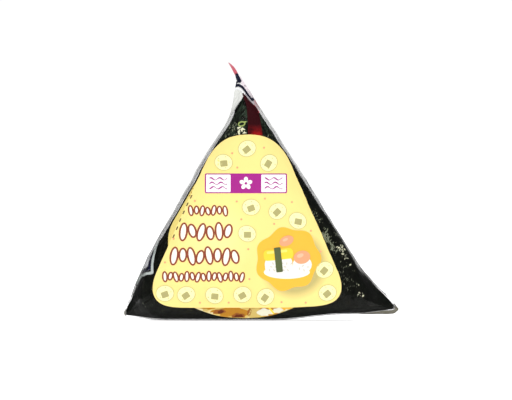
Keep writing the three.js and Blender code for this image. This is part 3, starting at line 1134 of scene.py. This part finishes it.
def printGrains():
    # Grains of rice in rows, no two of them with the same lean and height
    backs, fronts = [], []
    for z, high, wide, first, last, count, lean in grainRows:
        rim = 0.16 * high ** 0.5 + 0.25
        for index in range(count):
            x = first + (last - first) * index / (count - 1)
            turn = lean * math.sin(index * 2.4 + z)
            drop = 0.07 * high * math.sin(index * 1.7)
            tall = high * (0.86 + 0.14 * math.cos(index * 3.1))
            backs.append(disc(x, z + drop, wide / 2 + rim, tall / 2 + rim, turn))
            fronts.append(disc(x, z + drop, wide / 2 - 0.05, tall / 2, turn))
    # Neighbours may touch, so that each row's backs go on two layers
    labelPrint("grain_backs_a", "redBrown", 0, backs[0::2])
    labelPrint("grain_backs_b", "redBrown", 1, backs[1::2])
    labelPrint("grain_fronts", "creamWhite", 2, fronts)


rollPlaces = [
    # x, z, turn
    (-5.0, 60.0, 20), (-13.2, 55.2, -15), (2.6, 55.0, 40), (-3.6, 39.6, 0), (5.6, 38.2, 25),
    (12.6, 34.9, -30), (-26.2, 9.2, 15), (-16.4, 8.9, -25), (-6.6, 9.2, 10), (1.4, 8.4, 35),
    (23.0, 9.8, 20), (-5.0, 30.4, -20), (-33.6, 9.6, 0), (22.0, 17.8, 30),
]
dotPlaces = [
    (-10.2, 58.4), (0.9, 60.3), (-8.4, 53.4), (-17.2, 50.0), (-23.2, 41.8), (-8.6, 41.6), (1.2, 42.6),
    (10.6, 41.4), (-7.0, 35.4), (4.4, 33.8), (17.2, 31.4), (-33.6, 20.4), (-4.6, 25.0), (20.6, 24.2),
    (-4.2, 14.6), (-11.4, 6.4), (7.0, 6.6), (-21.4, 6.4), (15.4, 6.4), (-30.6, 28.6),
]


def printRolls():
    bodies, rims, fills, seeds = [], [], [], []
    for x, z, turn in rollPlaces:
        lean = math.radians(turn)
        bodies.append(disc(x, z, 3.15, 2.8, turn, 24))
        rims.append(hollow(disc(x, z, 3.25, 2.9, turn, 24), 0.24))
        fills.append(slab(x - 0.4 * math.sin(lean), z - 0.4 * math.cos(lean), 2.5, 2.1, turn + 20, 0.3))
        seeds += [disc(x + 2.2 * math.cos(lean + a), z + 2.0 * math.sin(lean + a), 0.2, sides=8)
                  for a in (0.3, 1.5, 2.7, 3.9, 5.3)]
    labelPrint("roll_bodies", "cream", 0, bodies)
    labelPrint("roll_rims", "oliveLine", 1, rims)
    labelPrint("roll_fills", "olive", 1, fills)
    labelPrint("roll_seeds", "oliveLine", 1, seeds)
    labelPrint("coral_dots", "coral", 0, [disc(x, z, 0.36, sides=10) for x, z in dotPlaces])
    nicks = [slab(x + 0.1, z, *printValues["nickSize"], printValues["nickTurn"])
             for x, z in printValues["nicks"]]
    labelPrint("edge_nicks", "nickBrown", 0, nicks)


printBanner(-5.4, 47.9)
printPlate(9.2, 21.6)
printGrains()
printRolls()
print("label print done")


# Fields on the round label, where it shows
roundFields = [
    # name, ink, layer, blots of x, z, half width, half height and the phase of their wavy rim
    ("round_amber", "amberShade", 0,
     [(-11.6, 2.4, 6.4, 2.6, 0.4), (-24.6, 45.4, 1.2, 2.6, 1.0), (-18.4, 4.6, 2.0, 0.7, 1.0)]),
    ("round_brown", "amberBrown", 1,
     [(-14.6, 3.3, 1.9, 0.9, 1.0), (-7.9, 1.6, 2.0, 1.3, 2.0), (-4.2, 3.1, 0.7, 1.3, 0.3)]),
    ("round_dark", "brown", 2,
     [(-14.2, 3.2, 1.0, 0.6, 0.2), (-7.9, 1.5, 1.4, 0.9, 1.4), (-24.2, 46.6, 0.45, 1.1, 1.0)]),
    ("round_pale", "custard", 1, [(-2.2, 2.6, 2.0, 2.2, 1.2), (-20.4, 3.9, 1.6, 0.5, 2.0)]),
    ("round_white", "curdWhite", 2, [(1.5, 2.8, 2.6, 1.7, 2.2), (5.7, 3.7, 1.6, 1.0, 0.6)]),
    ("round_orange", "footOrange", 1, [(8.8, 4.4, 2.6, 0.8, 1.4)]),
]


for fieldName, ink, layer, blots in roundFields:
    printOn(roundSheet, fieldName, [blot(*values) for values in blots], ink, layer, step=0.6)
printOn(roundSheet, "round_streak", [slab(3.5, 3.6, 2.8, 0.6, -50, 0.2)], "yolk", 3)


# Small holes in the seaweed, where the rice shows pale, and dull greenish streaks: thin spots in the
# seaweed with painted glints of the film's crinkles
fleckValues = {
    "seed": 21,
    "backTop": 60,
    "fields": [
        # x, z, spread across, spread up, lean, count, largest, ink
        (27.9, 24.8, 1.0, 2.2, -25, 18, 0.62, "fleckRice"),
        (29.2, 22.2, 1.0, 0.9, -40, 8, 0.5, "fleckRice"),
        (31.0, 19.6, 0.1, 0.2, 0, 2, 0.5, "fleckRice"),
        (22.6, 29.4, 1.2, 3.0, -25, 46, 0.6, "thinSpotAndGlint"),
        (24.8, 25.6, 1.1, 2.8, -25, 34, 0.5, "thinSpotAndGlint"),
        (26.6, 30.4, 1.0, 4.6, -28, 34, 0.4, "thinSpotAndGlint"),
        (19.6, 36.6, 1.0, 4.6, -28, 22, 0.34, "thinSpotAndGlint"),
        (29.6, 15.6, 3.8, 7.0, -20, 64, 0.32, "thinSpotAndGlint"),
        (34.6, 9.2, 1.6, 1.2, 0, 6, 0.45, "fleckRice"),
        (33.8, 12.4, 0.3, 0.3, 0, 2, 0.45, "fleckRice"),
        (-6.4, 66.2, 1.5, 1.0, 15, 14, 0.9, "fleckRice"),
        (-9.6, 67.0, 1.8, 2.2, -25, 22, 0.45, "thinSpotAndGlint"),
        (-12.4, 64.6, 1.5, 0.8, 0, 10, 0.45, "thinSpotAndGlint"),
        (-10.8, 67.4, 1.4, 2.6, -25, 16, 0.5, "thinSpotAndGlint"),
        (2.8, 64.6, 1.0, 1.0, 0, 5, 0.4, "thinSpotAndGlint"),
        (-39.0, 8.0, 4.0, 4.0, 0, 9, 0.3, "thinSpotAndGlint"),
    ],
}


def shard(rng, x, z, reach, turn, slender=0.7):
    shape = disc(x, z, reach, reach * rng.uniform(0.25, slender), turn, sides=9)
    points = readPoints(shape)
    middle = points.mean(0)
    for index in range(len(points)):
        points[index] = middle + (points[index] - middle) * rng.uniform(0.55, 1.25)
    writePoints(shape, points)
    return shape


def makeFlecks():
    rng = random.Random(fleckValues["seed"])
    for back in (False, True):
        inks = {}
        for x, z, across, up, lean, count, largest, ink in fleckValues["fields"]:
            # Near the tip the sides are too steep for the back's flecks
            if back and z > fleckValues["backTop"]:
                continue
            turn = math.radians(lean)
            for index in range(count):
                a, b = rng.gauss(0, 0.5) * across, rng.gauss(0, 0.5) * up
                at = (x + a * math.cos(turn) + b * math.sin(turn),
                      z + b * math.cos(turn) - a * math.sin(turn))
                at = (-at[0] - 4 if back else at[0], at[1])
                reach = largest * rng.uniform(0.25, 1) ** 1.5
                # The streaks of painted crinkle glint over thin seaweed are slender and turned by the
                # field's lean
                if ink == "thinSpotAndGlint":
                    flake = shard(rng, *at, reach * 1.3, lean - 90 + rng.uniform(-40, 40), 0.4)
                else:
                    flake = shard(rng, *at, reach, rng.uniform(0, 180))
                inks.setdefault(ink, []).append(flake)
        if not back:
            ring = hollow(disc(-6.9, 68.6, 1.35, 0.95, 15, 14), 0.42)
            inks["fleckGreen"] = [ring, shard(rng, -5.8, 69.3, 0.8, 20)]
        for ink, shapes in inks.items():
            printOn(seaweed, ink + ("_back" if back else "_front"), shapes, ink, 2, back, 0.8)


makeFlecks()
print("flecks done")


# Stage: white floor, soft light, camera
stageValues = {
    "lens": 502.2,
    "distance": 2.5,
    "elevation": 0.4,
    "aim": (-1.9, 42.0),
    "skyLight": 0.62,
    "mirrorSky": 0.015,
    "keyPower": 2.6,
    "floorGlow": 0.78,
    "cameraSky": 1.05,
    "behindSky": 0.85,
}


def makeStage():
    bpy.ops.mesh.primitive_plane_add(size=12, location=(0, 0, -0.0001))
    floor = bpy.context.object
    floor.name = "floor"
    material, tree, shader = newMaterial("floorWhite", (0.93, 0.93, 0.93), 0.9)
    shader.inputs["Emission Color"].default_value = (1, 1, 1, 1)
    glossy = put(tree, "LightPath").outputs["Is Glossy Ray"]
    feed(tree, blend(tree, glossy, (0.93, 0.93, 0.93), (0.30, 0.30, 0.30)), shader.inputs["Base Color"])
    glow = math2(tree, "MULTIPLY", math2(tree, "SUBTRACT", 1.0, glossy), stageValues["floorGlow"])
    feed(tree, glow, shader.inputs["Emission Strength"])
    floor.data.materials.append(material)
    world = bpy.data.worlds.new("studio")
    scene.world = world
    world.use_nodes = True
    tree = world.node_tree
    back = tree.nodes["Background"]
    rays = put(tree, "LightPath").outputs
    direction = put(tree, "TexCoord")
    parts = put(tree, "SeparateXYZ", {"Vector": direction.outputs["Generated"]})
    behind = ramp(tree, parts.outputs["Y"], 0.94, 1.0)
    mirror = put(tree, "MapRange", {"Value": behind, "To Min": stageValues["mirrorSky"],
                                    "To Max": stageValues["behindSky"]})
    forMirror = either(tree, rays["Is Glossy Ray"], stageValues["skyLight"], mirror.outputs["Result"])
    forCamera = either(tree, rays["Is Camera Ray"], forMirror, stageValues["cameraSky"])
    feed(tree, (1, 1, 1, 1), back.inputs["Color"])
    feed(tree, forCamera, back.inputs["Strength"])


def areaLight(name, place, size, power, mirrored):
    data = bpy.data.lights.new(name, "AREA")
    data.shape = "RECTANGLE"
    data.size, data.size_y = size
    data.energy = power
    lamp = bpy.data.objects.new(name, data)
    scene.collection.objects.link(lamp)
    lamp.location = place
    aim = Vector((0, 0, 0.04))
    lamp.rotation_euler = (aim - lamp.location).to_track_quat("-Z", "Y").to_euler()
    lamp.visible_glossy = mirrored


def makeCamera():
    data = bpy.data.cameras.new("camera")
    camera = bpy.data.objects.new("camera", data)
    scene.collection.objects.link(camera)
    scene.camera = camera
    data.lens = stageValues["lens"]
    data.sensor_width = 36
    aim = Vector((stageValues["aim"][0] * mm, 0, stageValues["aim"][1] * mm))
    rise = math.radians(stageValues["elevation"])
    camera.location = aim + Vector((0, -math.cos(rise), math.sin(rise))) * stageValues["distance"]
    camera.rotation_euler = (aim - camera.location).to_track_quat("-Z", "Y").to_euler()
    data.clip_start, data.clip_end = 0.01, 30


makeStage()
keyPower = stageValues["keyPower"]
areaLight("keyLeft", (-0.65, -0.55, 0.65), (0.5, 0.5), keyPower, False)
areaLight("keyRight", (0.75, -0.45, 0.5), (0.4, 0.6), keyPower * 0.7, False)
areaLight("top", (0, 0.15, 0.9), (0.7, 0.5), keyPower, False)
areaLight("sheen", (-0.3, -0.2, 0.8), (0.25, 0.25), 0.15, True)
makeCamera()
scene.view_settings.view_transform = "Standard"

bpy.data.objects.remove(packForm)
